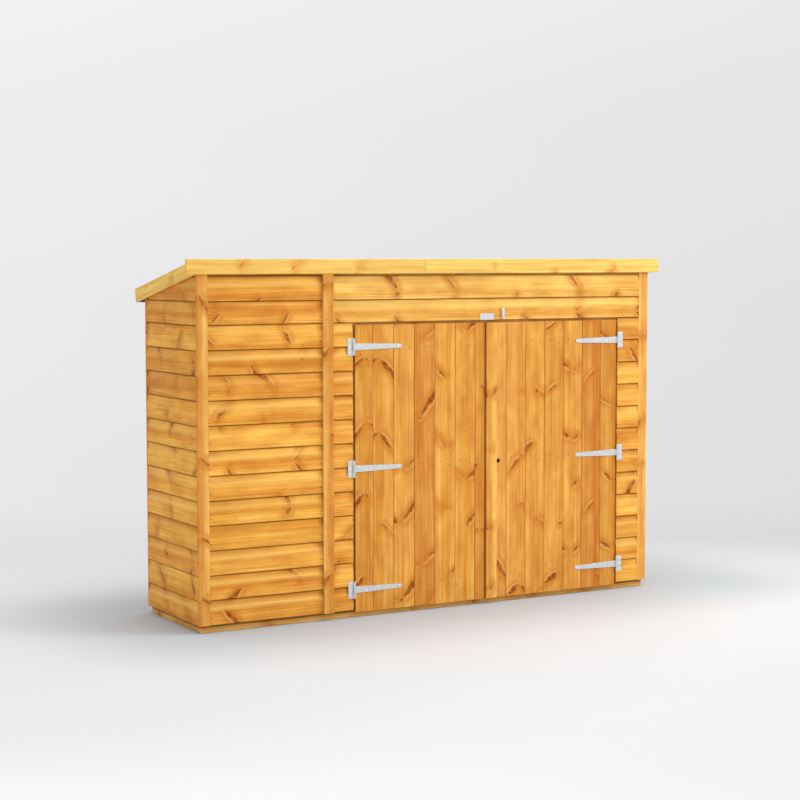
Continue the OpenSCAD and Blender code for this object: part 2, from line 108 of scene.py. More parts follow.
def branchGroup(look):
    tree = bpy.data.node_groups.new("branchThroughLog", "ShaderNodeTree")
    tree.interface.new_socket("place", in_out="INPUT", socket_type="NodeSocketVector")
    for name in ("whorl", "number", "turn", "spread"):
        tree.interface.new_socket(name, in_out="INPUT", socket_type="NodeSocketFloat")
    for name in ("knot", "rim", "halo", "flank"):
        tree.interface.new_socket(name, in_out="OUTPUT", socket_type="NodeSocketFloat")
    given = addNode(tree, "NodeGroupInput").outputs
    seed = addNode(tree, "ShaderNodeCombineXYZ", {0: given["whorl"], 1: given["number"]})
    luck = addNode(tree, "ShaderNodeTexWhiteNoise", {"Vector": seed}, noise_dimensions="3D")
    chance = addNode(tree, "ShaderNodeSeparateColor", {0: luck.outputs["Color"]}).outputs
    grew = calc(tree, "GREATER_THAN", luck.outputs["Value"], look["bare"])
    turn = calc(tree, "MULTIPLY_ADD", chance[0], given["spread"], given["turn"])
    tilt = calc(tree, "MULTIPLY_ADD", chance[1], look["tiltSpread"], look["leastTilt"])
    up = calc(tree, "COSINE", tilt)
    out = calc(tree, "SINE", tilt)
    turnX = calc(tree, "COSINE", turn)
    turnY = calc(tree, "SINE", turn)
    sideways = calc(tree, "MULTIPLY", out, turnX)
    outwards = calc(tree, "MULTIPLY", out, turnY)
    axis = addNode(tree, "ShaderNodeCombineXYZ", {0: up, 1: sideways, 2: outwards})
    reach = calcVector(tree, "DOT_PRODUCT", given["place"], axis).outputs["Value"]
    foot = addNode(tree, "ShaderNodeVectorMath", {0: axis, "Scale": reach}, operation="SCALE")
    aside = calcVector(tree, "SUBTRACT", given["place"], foot)
    distance = calcVector(tree, "LENGTH", aside).outputs["Value"]
    size = addNode(tree, "ShaderNodeMapRange", {"Value": chance[2], 3: look["thin"], 4: look["thick"]})
    grown = addNode(tree, "ShaderNodeMapRange", {"Value": reach, 2: look["grownAt"]})
    radius = calc(tree, "MULTIPLY", size, grown)
    radius = calc(tree, "MULTIPLY", radius, grew)
    gap = calc(tree, "SUBTRACT", distance, radius)
    knot = easeBetween(tree, gap, 0.0, -look["edge"])
    near = calc(tree, "ABSOLUTE", gap)
    ring = easeBetween(tree, near, look["rim"], 0.0)
    # bark shows on the upper side of a branch, and the lower side has a pale flank
    lean = addNode(tree, "ShaderNodeSeparateXYZ", {0: aside})
    upper = addNode(tree, "ShaderNodeMapRange", {"Value": lean, 1: -look["thin"], 2: look["thin"],
                                                  3: look["leastBark"]})
    lower = calc(tree, "SUBTRACT", 1.0, upper)
    begun = addNode(tree, "ShaderNodeMapRange", {"Value": reach, 1: look["begun"][0], 2: look["begun"][1]})
    shown = calc(tree, "MULTIPLY", grew, begun)
    ring = calc(tree, "MULTIPLY", ring, upper)
    rim = calc(tree, "MULTIPLY", ring, shown)
    glow = easeBetween(tree, gap, look["halo"], 0.0)
    halo = calc(tree, "MULTIPLY", glow, shown)
    beside = addNode(tree, "ShaderNodeMapRange", {"Value": gap, 1: look["flank"][0], 2: look["flank"][1]})
    pale = calc(tree, "MULTIPLY", beside, lower)
    flank = calc(tree, "MULTIPLY", pale, shown)
    addNode(tree, "NodeGroupOutput", {"knot": knot, "rim": rim, "halo": halo, "flank": flank})
    return tree


logLook = {
    "whorlEvery": 0.33,                        # branches grow in whorls, one for each year's growth
    "branches": ((0.02, 0.40), (2.72, 0.40), (0.75, 1.6), (3.4, 2.5)),   # least turn about the pith, and spread
    "crook": 0.012, "crookEvery": 0.026,       # how far a branch strays from a straight line
    "whorlStart": (0.12, 0.50),                # where in its year's growth a whorl sits
    "flakeEvery": 0.022, "flakeSpan": (0.34, 0.58), "flakeLeast": 0.40,     # bark and resin flake a knot
    "ringWide": 0.0052, "ringSway": 0.020,     # year rings, and how far they wander along the log
    "ringBend": 0.012,                         # how far the rings bulge round a knot
    "summer": (0.30, 0.92), "winter": (1.0, 0.93),     # shares of a ring where the dark wood comes and goes
    "heartFrom": 0.010, "heartTo": 0.048,      # darker heartwood near the pith
    "fibre": (3.5, 260.0, 260.0), "band": (1.1, 42.0, 42.0), "sway": (1.9, 13.0, 13.0),
    "cloud": (7.0, 16.0, 16.0),                # blotches where the dip soaked in unevenly
    "pinEvery": 0.150, "pinSize": 0.0030, "pinCore": 0.4, "pinBare": 0.62,
}


def logGroup(look, branchTree):
    tree = bpy.data.node_groups.new("pineLog", "ShaderNodeTree")
    tree.interface.new_socket("log", in_out="INPUT", socket_type="NodeSocketVector")
    marks = ("knot", "rim", "halo", "flank")
    for name in marks + ("rings", "heart", "fibre", "band", "cloud", "pin"):
        tree.interface.new_socket(name, in_out="OUTPUT", socket_type="NodeSocketFloat")
    log = addNode(tree, "NodeGroupInput").outputs["log"]
    part = addNode(tree, "ShaderNodeSeparateXYZ", {0: log}).outputs
    turns = calc(tree, "DIVIDE", part[0], look["whorlEvery"])
    whorl = calc(tree, "FLOOR", turns)
    share = calc(tree, "SUBTRACT", turns, whorl)
    luck = addNode(tree, "ShaderNodeTexWhiteNoise", {"W": whorl}, noise_dimensions="1D").outputs["Value"]
    start = addNode(tree, "ShaderNodeMapRange", {"Value": luck, 3: look["whorlStart"][0], 4: look["whorlStart"][1]})
    past = calc(tree, "SUBTRACT", share, start)
    along = calc(tree, "MULTIPLY", past, look["whorlEvery"])
    place = addNode(tree, "ShaderNodeCombineXYZ", {0: along, 1: part[1], 2: part[2]})
    stray = addNode(tree, "ShaderNodeTexNoise", {"Vector": log, "Scale": 1 / look["crookEvery"], "Detail": 1.0})
    stray = calcVector(tree, "SUBTRACT", stray.outputs["Color"], (0.5, 0.5, 0.5))
    stray = addNode(tree, "ShaderNodeVectorMath", {0: stray, "Scale": look["crook"]}, operation="SCALE")
    place = calcVector(tree, "ADD", place, stray)
    found = {}
    for number, (turn, spread) in enumerate(look["branches"]):
        branch = addNode(tree, "ShaderNodeGroup", node_tree=branchTree)
        tree.links.new(place.outputs[0], branch.inputs["place"])
        tree.links.new(whorl.outputs[0], branch.inputs["whorl"])
        for socket, value in (("number", number + 0.5), ("turn", turn), ("spread", spread)):
            branch.inputs[socket].default_value = value
        for name in marks:
            strongest = branch.outputs[name]
            if name in found:
                strongest = calc(tree, "MAXIMUM", found[name], strongest)
            found[name] = strongest
    flake = addNode(tree, "ShaderNodeTexNoise", {"Vector": log, "Scale": 1 / look["flakeEvery"], "Detail": 2.0})
    flake = addNode(tree, "ShaderNodeMapRange", {"Value": flake, 1: look["flakeSpan"][0], 2: look["flakeSpan"][1],
                                                 3: look["flakeLeast"]})
    for name in ("knot", "rim"):
        found[name] = calc(tree, "MULTIPLY", found[name], flake)
    # year rings: distance from the pith, swaying along the log and bulging round the knots
    outwards = addNode(tree, "ShaderNodeCombineXYZ", {1: part[1], 2: part[2]})
    fromPith = calcVector(tree, "LENGTH", outwards).outputs["Value"]
    swayAt = calcVector(tree, "MULTIPLY", log, look["sway"])
    sway = addNode(tree, "ShaderNodeTexNoise", {"Vector": swayAt, "Scale": 1.0, "Detail": 2.0})
    swayed = calc(tree, "MULTIPLY_ADD", sway, look["ringSway"], fromPith)
    bent = calc(tree, "MULTIPLY_ADD", found["halo"], look["ringBend"], swayed)
    years = calc(tree, "DIVIDE", bent, look["ringWide"])
    season = calc(tree, "FRACT", years)
    summer, winter = [easeBetween(tree, season, *look[name]) for name in ("summer", "winter")]
    rings = calc(tree, "MULTIPLY", summer, winter)
    heart = easeBetween(tree, swayed, look["heartTo"], look["heartFrom"])
    for name, detail in (("fibre", 3.0), ("band", 2.0), ("cloud", 2.0)):
        stretched = calcVector(tree, "MULTIPLY", log, look[name])
        found[name] = addNode(tree, "ShaderNodeTexNoise", {"Vector": stretched, "Scale": 1.0, "Detail": detail})
    # pin knots: thin twigs, as dark dots a few millimetres wide
    dots = addNode(tree, "ShaderNodeTexVoronoi", {"Vector": log, "Scale": 1 / look["pinEvery"]},
                   voronoi_dimensions="2D")
    dotColour = addNode(tree, "ShaderNodeSeparateColor", {0: dots.outputs["Color"]})
    some = calc(tree, "GREATER_THAN", dotColour, look["pinBare"])
    dotSize = look["pinSize"] / look["pinEvery"]
    dot = easeBetween(tree, dots.outputs["Distance"], dotSize, dotSize * look["pinCore"])
    pin = calc(tree, "MULTIPLY", dot, some)
    addNode(tree, "NodeGroupOutput", {**found, "rings": rings, "heart": heart, "pin": pin})
    return tree


pineLog = logGroup(logLook, branchGroup(branchLook))

# Planed softwood dipped in a honey-coloured preservative: the spring wood drinks more and goes yellow, the
# summer wood stays an orange line, and resinous knots go fox-brown and a little glossier.
honeyPine = {
    "spring": "#f2ae4a", "summer": "#d98b2b", "heart": "#d6862a", "halo": "#cb741c", "flank": "#ffcf76",
    "knot": "#9a4407", "rim": "#552205", "pin": "#542808", "soakedAndShaded": "#6e3f0e", "lipHighlight": "#fbc768",
    "ringShow": 0.55, "heartShow": 0.75, "haloShow": 0.70, "flankShow": 0.42, "knotShow": 1.00, "rimShow": 0.95,
    "pinShow": 0.85, "dipAndShadeShow": 0.62, "lipHighlightShow": 0.80,
    "toneShow": 0.10, "hueShow": (0.0030, 0.0021), "bandShow": 0.10, "fibreShow": 0.15, "cloudShow": 0.11,
    "bandSpan": (0.25, 0.75), "fibreSpan": (0.25, 0.75), "cloudSpan": (0.28, 0.72),     # noise at its extremes
    "redden": (1.8, 2.5), "rough": 0.60, "knotRough": 0.12, "ior": 1.5, "gloss": 0.12,
    "grainHigh": 0.0005, "grainBump": 0.35,
}
doorPine = dict(honeyPine, spring="#e4a149", summer="#cb8029", toneShow=0.12, dipAndShadeShow=0.75)
# the plinth's copy is paler than the other pine, as painted light against the shade it sits in under the cladding
plinthPine = dict(honeyPine, spring="#f4bd66", summer="#dea04c", heart="#e0a350", toneShow=0.05, dipAndShadeShow=0.80)
trimPine = dict(honeyPine, spring="#f3bb64", toneShow=0.05, knotShow=0.60)
fasciaPine = dict(honeyPine, spring="#f9cd6c", summer="#e9ab48", heart="#eeb452", halo="#e49a3c", rim="#a85f1c",
                  ringShow=0.35, heartShow=0.35, toneShow=0.03, cloudShow=0.05, knotShow=0.35)
headPine = dict(honeyPine, spring="#fac666", summer="#e6a442", heart="#e29c3c", toneShow=0.05)
sawnPine = dict(honeyPine, spring="#ecbc70", summer="#d69a48", heart="#d99f4e", knotShow=0.65, rough=0.70,
                grainHigh=0.0010)


def pineMaterial(name, look):
    material, tree, shader = newMaterial(name)
    log = addNode(tree, "ShaderNodeAttribute", attribute_name="log").outputs["Vector"]
    tone = addNode(tree, "ShaderNodeAttribute", attribute_name="tone").outputs["Color"]
    wood = addNode(tree, "ShaderNodeGroup", node_tree=pineLog)
    tree.links.new(log, wood.inputs["log"])
    found = wood.outputs
    own = addNode(tree, "ShaderNodeSeparateColor", {0: tone}).outputs      # three random numbers for each board
    ringDepth = calc(tree, "MULTIPLY", found["rings"], look["ringShow"])
    colour = mixColours(tree, ringDepth, linear(look["spring"]), linear(look["summer"]))
    heartDepth = calc(tree, "MULTIPLY", found["heart"], look["heartShow"])
    colour = mixColours(tree, heartDepth, colour, linear(look["heart"]))
    # every board has its own tone, and streaks along its grain
    light = addNode(tree, "ShaderNodeMapRange", {"Value": own[0], 3: 1 - look["toneShow"], 4: 1 + look["toneShow"]})
    for mark in ("band", "fibre", "cloud"):
        least, most = look[mark + "Span"]
        depth = look[mark + "Show"]
        streak = addNode(tree, "ShaderNodeMapRange", {"Value": found[mark], 1: least, 2: most, 3: 1 - depth,
                                                      4: 1 + depth})
        light = calc(tree, "MULTIPLY", light, streak)
    hue = addNode(tree, "ShaderNodeMapRange", {"Value": own[1], 3: 0.5 - look["hueShow"][0],
                                               4: 0.5 + look["hueShow"][1]})
    colour = addNode(tree, "ShaderNodeHueSaturation", {"Hue": hue, "Color": colour})
    # wood that drank more of the dip is darker and also redder
    lessGreen = calc(tree, "POWER", light, look["redden"][0])
    lessBlue = calc(tree, "POWER", light, look["redden"][1])
    drunk = addNode(tree, "ShaderNodeCombineColor", {0: light, 1: lessGreen, 2: lessBlue})
    colour = mixColours(tree, 1.0, colour, drunk, blend_type="MULTIPLY")
    for mark in ("halo", "flank", "knot", "rim", "pin"):
        amount = calc(tree, "MULTIPLY", found[mark], look[mark + "Show"])
        colour = mixColours(tree, amount, colour, linear(look[mark]))
    # painted shade, with some dip, darkens the grooves between boards; the same attribute also paints shade under the
    # fascia, on the joist tops and on the door edges
    dipShadeAndHighlight = addNode(tree, "ShaderNodeAttribute", attribute_name="dipShadeAndHighlight").outputs["Fac"]
    amount = calc(tree, "MULTIPLY", dipShadeAndHighlight, look["dipAndShadeShow"])
    colour = mixColours(tree, amount, colour, linear(look["soakedAndShaded"]))
    # below zero the same attribute paints a highlight on the lip of each scoop, stronger on some boards than on
    # others
    amount = calc(tree, "MULTIPLY", own[2], -look["lipHighlightShow"])
    amount = calc(tree, "MULTIPLY", dipShadeAndHighlight, amount)
    colour = mixColours(tree, amount, colour, linear(look["lipHighlight"]))
    tree.links.new(colour, shader.inputs["Base Color"])
    rough = addNode(tree, "ShaderNodeMapRange", {"Value": found["knot"], 3: look["rough"],
                                                 4: look["rough"] - look["knotRough"]})
    tree.links.new(rough.outputs[0], shader.inputs["Roughness"])
    shader.inputs["IOR"].default_value = look["ior"]
    shader.inputs["Specular IOR Level"].default_value = look["gloss"]
    relief = calc(tree, "ADD", found["fibre"], found["rings"])
    bump = addNode(tree, "ShaderNodeBump", {"Height": relief, "Strength": look["grainBump"],
                                           "Distance": look["grainHigh"]})
    tree.links.new(bump.outputs[0], shader.inputs["Normal"])
    return material


# Hot-dip galvanised pressed steel: pale grey, with faint crystals of zinc about 8 mm across
zincLook = {"bright": "#e4e7e8", "dull": "#c8cccd", "crystal": 0.008, "bloom": 60.0, "rough": 0.45,
            "bloomRough": 0.15, "metal": 0.85}
screwLook = dict(zincLook, bright="#f4f6f6", dull="#e3e6e7")      # screws are brighter than the hinge round them


def zincMaterial(name, look):
    material, tree, shader = newMaterial(name)
    spot = addNode(tree, "ShaderNodeTexCoord").outputs["Object"]
    crystals = addNode(tree, "ShaderNodeTexVoronoi", {"Vector": spot, "Scale": 1 / look["crystal"]})
    shade = addNode(tree, "ShaderNodeSeparateColor", {0: crystals.outputs["Color"]})
    bloom = addNode(tree, "ShaderNodeTexNoise", {"Vector": spot, "Scale": look["bloom"], "Detail": 3.0})
    both = calc(tree, "MULTIPLY", shade, bloom)
    colour = mixColours(tree, both, linear(look["bright"]), linear(look["dull"]))
    tree.links.new(colour, shader.inputs["Base Color"])
    rough = addNode(tree, "ShaderNodeMapRange", {"Value": both, 3: look["rough"],
                                                 4: look["rough"] + look["bloomRough"]})
    tree.links.new(rough.outputs[0], shader.inputs["Roughness"])
    shader.inputs["Metallic"].default_value = look["metal"]
    return material


# Mineral roofing felt: bitumen with stone grit of 1 to 2 mm pressed into it, dull and nearly black
feltLook = {"grit": "#4b4d50", "bitumen": "#232426", "gritSize": 0.0022, "wear": 5.0, "rough": 0.92,
            "gritHigh": 0.0008, "gritBump": 0.6}


def feltMaterial(name, look):
    material, tree, shader = newMaterial(name)
    spot = addNode(tree, "ShaderNodeTexCoord").outputs["Object"]
    grit = addNode(tree, "ShaderNodeTexVoronoi", {"Vector": spot, "Scale": 1 / look["gritSize"]})
    stone = addNode(tree, "ShaderNodeSeparateColor", {0: grit.outputs["Color"]})
    worn = addNode(tree, "ShaderNodeTexNoise", {"Vector": spot, "Scale": look["wear"], "Detail": 4.0})
    shade = calc(tree, "MULTIPLY", stone, worn)
    colour = mixColours(tree, shade, linear(look["bitumen"]), linear(look["grit"]))
    tree.links.new(colour, shader.inputs["Base Color"])
    shader.inputs["Roughness"].default_value = look["rough"]
    bump = addNode(tree, "ShaderNodeBump", {"Height": grit.outputs["Distance"], "Strength": look["gritBump"],
                                           "Distance": look["gritHigh"]})
    tree.links.new(bump.outputs[0], shader.inputs["Normal"])
    return material


# Black stove enamel on the lock case: smooth, with a slight orange-peel and dusty patches
enamelLook = {"clean": "#161618", "dusty": "#2b2a29", "dust": 40.0, "peel": 900.0, "rough": 0.38, "dustRough": 0.2,
              "peelHigh": 0.0002, "peelBump": 0.2}


def enamelMaterial(name, look):
    material, tree, shader = newMaterial(name)
    spot = addNode(tree, "ShaderNodeTexCoord").outputs["Object"]
    dust = addNode(tree, "ShaderNodeTexNoise", {"Vector": spot, "Scale": look["dust"], "Detail": 4.0})
    peel = addNode(tree, "ShaderNodeTexNoise", {"Vector": spot, "Scale": look["peel"], "Detail": 1.0})
    colour = mixColours(tree, dust, linear(look["clean"]), linear(look["dusty"]))
    tree.links.new(colour, shader.inputs["Base Color"])
    rough = addNode(tree, "ShaderNodeMapRange", {"Value": dust, 3: look["rough"],
                                                 4: look["rough"] + look["dustRough"]})
    tree.links.new(rough.outputs[0], shader.inputs["Roughness"])
    bump = addNode(tree, "ShaderNodeBump", {"Height": peel, "Strength": look["peelBump"],
                                           "Distance": look["peelHigh"]})
    tree.links.new(bump.outputs[0], shader.inputs["Normal"])
    return material


# Wire nails driven before the dip, so their heads are stained brown like the wood
nailLook = {"stained": "#4e2f0c", "bare": "#7c5c2c", "wear": 25.0, "rough": 0.45}


def nailMaterial(name, look):
    material, tree, shader = newMaterial(name)
    spot = addNode(tree, "ShaderNodeTexCoord").outputs["Object"]
    worn = addNode(tree, "ShaderNodeTexNoise", {"Vector": spot, "Scale": look["wear"], "Detail": 2.0})
    colour = mixColours(tree, worn, linear(look["stained"]), linear(look["bare"]))
    tree.links.new(colour, shader.inputs["Base Color"])
    shader.inputs["Roughness"].default_value = look["rough"]
    return material


claddingWood = pineMaterial("dippedPineShiplap", honeyPine)
doorWood = pineMaterial("dippedPineDoorBoards", doorPine)
trimWood = pineMaterial("dippedPineTrim", trimPine)
fasciaWood = pineMaterial("dippedPineFascia", fasciaPine)
headWood = pineMaterial("dippedPineHead", headPine)
sawnWood = pineMaterial("sawnPineFraming", sawnPine)
plinthWood = pineMaterial("dippedPinePlinth", plinthPine)
zinc = zincMaterial("galvanisedSteel", zincLook)
screwZinc = zincMaterial("platedScrew", screwLook)
felt = feltMaterial("mineralFelt", feltLook)
enamel = enamelMaterial("blackStoveEnamel", enamelLook)
stainedNail = nailMaterial("stainedWireNail", nailLook)
print("materials made")


# merge and touch are metres, flat and sharp are degrees between faces
meshing = {"merge": 0.00002, "touch": 0.0001, "flat": 1, "sharp": 28, "cutPast": 0.01}


def cadCopy(node):                 # a node's own mesh, merged and with its flat faces whole
    bm = bmesh.new()
    bm.from_mesh(cadNodes[node].data)
    bmesh.ops.remove_doubles(bm, verts=bm.verts, dist=meshing["merge"])
    bmesh.ops.dissolve_limit(bm, angle_limit=math.radians(meshing["flat"]), verts=bm.verts, edges=bm.edges)
    return bm


def solidsIn(bm):                  # one bmesh for each solid that touches no other
    bm.verts.ensure_lookup_table()
    bm.verts.index_update()
    owner = [-1] * len(bm.verts)
    count = 0
    for vert in bm.verts:
        if owner[vert.index] < 0:
            waiting = [vert]
            owner[vert.index] = count
            while waiting:
                for edge in waiting.pop().link_edges:
                    for other in edge.verts:
                        if owner[other.index] < 0:
                            owner[other.index] = count
                            waiting.append(other)
            count += 1
    solids = []
    for number in range(count):
        solid = bm.copy()
        solid.verts.ensure_lookup_table()
        others = [v for v in solid.verts if owner[v.index] != number]
        bmesh.ops.delete(solid, geom=others, context="VERTS")
        solids.append(solid)
    bm.free()
    return solids


def closeCut(bm, result):
    rim = [e for e in result["geom_cut"] if isinstance(e, bmesh.types.BMEdge)]
    if rim:
        bmesh.ops.edgeloop_fill(bm, edges=rim)


def keepBetween(bm, axis, first, last):
    for place, normal in ((first, -axis), (last, axis)):
        everything = bm.verts[:] + bm.edges[:] + bm.faces[:]
        closeCut(bm, bmesh.ops.bisect_plane(bm, geom=everything, plane_co=axis * place, plane_no=normal,
                                            clear_outer=True))
    return bm


def softenEdges(bm, offset, segments=2):
    bmesh.ops.recalc_face_normals(bm, faces=bm.faces)
    least = math.radians(meshing["sharp"])
    sharp = [e for e in bm.edges if len(e.link_faces) == 2 and e.calc_face_angle() > least]
    bmesh.ops.bevel(bm, geom=sharp, offset=offset, offset_type="OFFSET", segments=segments, profile=0.5,
                    affect="EDGES", material=-1, clamp_overlap=True)
    return bm


boardLuck = {"logLength": 90.0, "shallowPith": -0.004, "deepPith": 0.022, "pithAside": 0.42, "widest": 0.12,
             "endGrain": 0.1}


def layLog(bm, grain=None, outward=None):      # says where in its log this board was sawn from
    if grain is None:
        longest = max(bm.edges, key=lambda e: round(e.calc_length(), 5))
        grain = (longest.verts[1].co - longest.verts[0].co).normalized()
    if outward is None:
        flats = [f for f in bm.faces if abs(f.normal.dot(grain)) < boardLuck["endGrain"]]
        outward = max(flats, key=lambda f: round(f.calc_area(), 7)).normal.copy()
    across = outward.cross(grain)
    faceAt = max(v.co.dot(outward) for v in bm.verts)
    sides = [v.co.dot(across) for v in bm.verts]
    width = max(sides) - min(sides)
    middle = (max(sides) + min(sides)) / 2
    start = draw.uniform(0, boardLuck["logLength"])
    way = draw.choice((-1, 1))
    deep = draw.uniform(boardLuck["shallowPith"], boardLuck["deepPith"])
    aside = draw.uniform(-1, 1) * boardLuck["pithAside"] * min(width, boardLuck["widest"])
    tone = (draw.random(), draw.random(), draw.random(), 1)
    logLayer = bm.verts.layers.float_vector.new("log")
    toneLayer = bm.verts.layers.float_color.new("tone")
    if "dipShadeAndHighlight" not in bm.verts.layers.float:
        bm.verts.layers.float.new("dipShadeAndHighlight")
    for vert in bm.verts:
        vert[logLayer] = (way * vert.co.dot(grain) + start, vert.co.dot(across) - middle - aside,
                          vert.co.dot(outward) - faceAt + deep)
        vert[toneLayer] = tone
    return bm


def gather(boards):                # many boards as one mesh
    whole = bmesh.new()
    whole.verts.layers.float_vector.new("log")
    whole.verts.layers.float_color.new("tone")
    whole.verts.layers.float.new("dipShadeAndHighlight")
    for board in boards:
        scratch = bpy.data.meshes.new("scratch")
        board.to_mesh(scratch)
        board.free()
        whole.from_mesh(scratch)
        bpy.data.meshes.remove(scratch)
    return whole


def finishPiece(name, bm, material, body, slot, *nodes):
    mesh = bpy.data.meshes.new(name)
    bm.to_mesh(mesh)
    bm.free()
    mesh.materials.append(material)
    piece = bpy.data.objects.new(name, mesh)
    bpy.context.scene.collection.objects.link(piece)
    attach(piece, body)
    if nodes:
        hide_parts(*nodes)
    return piece


shiplap = {
    "pitch": 0.1101, "firstEdge": 0.033, "headTrim": 0.007, "thick": 0.012,
    "scoopHigh": 0.034, "scoopDeep": 0.005, "scoopSteps": 8,
    "seam": 0.0024, "tongueDeep": 0.0085, "lap": 0.007, "clear": 0.0004, "arris": 0.0007,
    "highlightBelow": 0.018, "highlightAbove": 0.027,      # how far round the lip of the scoop the painted highlight reaches
    "shadeBelow": 0.0055, "shadeAbove": 0.004,   # how far the painted shade of a seam spreads over the faces
    "lowerEdgeShade": 0.7,                          # painted shade on a board's lower edge, against 1 in the groove
    "underFascia": 0.020, "fasciaShadow": 0.85,  # the strip of board under the fascia is painted dark all over, as the fascia's shadow
    "thinnest": 0.004,                         # a sliver lower than this under the roof is left out
    "endFacing": 0.5, "roundFrom": 0.02, "roundTo": 0.98,      # which way the smooth faces of the scoop look
}
headBoards, allBoards = 12, 15     # whole boards below the door head, and up to the highest roof line
frontTop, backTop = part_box("front_panel_cladding")[1].z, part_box("back_left_cladding")[1].z
frontFace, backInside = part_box("front_panel_cladding")[0].y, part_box("back_left_cladding")[0].y
roofFall = (frontTop - backTop) / (backInside - frontFace)
roofNormal = Vector((0, roofFall, 1)).normalized()
roofPoint = Vector((0, frontFace, frontTop))
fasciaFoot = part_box("front_fascia")[0].z


def shiplapOutline(low, high):     # depth behind the face and height, round one board with its lap and rebate
    deep, thick, tongue = shiplap["scoopDeep"], shiplap["thick"], shiplap["tongueDeep"]
    rebate = low + shiplap["lap"] + shiplap["clear"]
    outline = [(0, low + shiplap["seam"]), (0, low + shiplap["seam"] + shiplap["shadeAbove"]),
               (0, high - shiplap["scoopHigh"] - shiplap["highlightBelow"])]
    for step in range(shiplap["scoopSteps"] + 1):
        t = math.pi / 2 * (1 - step / shiplap["scoopSteps"])
        outline.append((deep * math.cos(t), high - shiplap["scoopHigh"] * math.sin(t)))
    outline += [(tongue, high), (tongue, high + shiplap["lap"]), (thick, high + shiplap["lap"]), (thick, rebate)]
    outline += [(tongue - shiplap["clear"], rebate), (tongue - shiplap["clear"], low + shiplap["seam"])]
    return outline


def seamHeight(number):            # the board over the door head is cut narrower
    return shiplap["firstEdge"] + number * shiplap["pitch"] - (shiplap["headTrim"] if number > headBoards else 0)


def paintSeamShadeAndHighlight(bm, outward, face, low, high):   # painted shade, darkest in the groove and gone a few millimetres above and below it
    dipShadeLayer = bm.verts.layers.float.new("dipShadeAndHighlight")
    for vert in bm.verts:
        depth = face - vert.co.dot(outward)
        dipShadeAndHighlight = 0.0
        if depth < shiplap["tongueDeep"] + shiplap["clear"]:
            dipShadeAndHighlight = max(1 - (high - vert.co.z) / shiplap["shadeBelow"], 0) if depth > shiplap["scoopDeep"] / 2 else 0
            over = vert.co.z - low - shiplap["seam"]           # above the board's lower edge
            dipShadeAndHighlight = max(dipShadeAndHighlight, shiplap["lowerEdgeShade"] * (1 - over / shiplap["shadeAbove"]), 0)
        # the lip of the scoop gets a painted highlight, stored as values below zero
        up = vert.co.z - high + shiplap["scoopHigh"]           # above the lip of the scoop
        if depth < shiplap["scoopDeep"] and -shiplap["highlightBelow"] < up < shiplap["highlightAbove"]:
            dipShadeAndHighlight = abs(up) / (shiplap["highlightAbove"] if up > 0 else shiplap["highlightBelow"]) - 1
        if low > fasciaFoot - shiplap["underFascia"]:
            dipShadeAndHighlight = shiplap["fasciaShadow"]
        vert[dipShadeLayer] = min(dipShadeAndHighlight, 1.0)


def shiplapWall(name, node, along, outward, material, boardNumbers):
    low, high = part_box(node)
    face = max(outward.dot(low), outward.dot(high))
    ends = sorted((along.dot(low), along.dot(high)))
    boards = []
    for number in boardNumbers:
        bottom, top = seamHeight(number), seamHeight(number + 1)
        if bottom > high.z - shiplap["thinnest"]:
            continue
        bm = bmesh.new()
        ring = [bm.verts.new(along * ends[0] + outward * (face - depth) + zAxis * height)
                for depth, height in shiplapOutline(bottom, top)]
        grown = bmesh.ops.extrude_face_region(bm, geom=[bm.faces.new(ring)])
        moved = [v for v in grown["geom"] if isinstance(v, bmesh.types.BMVert)]
        bmesh.ops.translate(bm, verts=moved, vec=along * (ends[1] - ends[0]))
        everything = bm.verts[:] + bm.edges[:] + bm.faces[:]
        closeCut(bm, bmesh.ops.bisect_plane(bm, geom=everything, plane_co=roofPoint, plane_no=roofNormal,
                                            clear_outer=True))
        if number == boardNumbers[-1] == headBoards - 1:       # no lap under the door head
            keepBetween(bm, zAxis, bottom, top)
        softenEdges(bm, shiplap["arris"], 1)
        paintSeamShadeAndHighlight(bm, outward, face, bottom, top)
        for f in bm.faces:
            onSide = abs(f.normal.dot(along)) < shiplap["endFacing"]
            f.smooth = onSide and shiplap["roundFrom"] < abs(f.normal.z) < shiplap["roundTo"]
        boards.append(layLog(bm, along, outward))
    return finishPiece(name, gather(boards), material, "shed", "cladding_wood", node)


everyBoard, jambBoards = range(allBoards), range(headBoards)
shiplapWall("frontPanelBoards", "front_panel_cladding", xAxis, -yAxis, claddingWood, everyBoard)
shiplapWall("leftJambBoards", "left_jamb_cladding", xAxis, -yAxis, claddingWood, jambBoards)
shiplapWall("rightJambBoards", "right_jamb_cladding", xAxis, -yAxis, claddingWood, jambBoards)
shiplapWall("doorHeadBoards", "door_head_cladding", xAxis, -yAxis, headWood, range(headBoards, allBoards))
shiplapWall("leftEndBoards", "left_end_cladding", yAxis, -xAxis, claddingWood, everyBoard)
shiplapWall("rightEndBoards", "right_end_cladding", yAxis, xAxis, claddingWood, everyBoard)
shiplapWall("backLeftBoards", "back_left_cladding", xAxis, yAxis, claddingWood, everyBoard)
shiplapWall("backRightBoards", "back_right_cladding", xAxis, yAxis, claddingWood, everyBoard)
print("shiplap walls made")

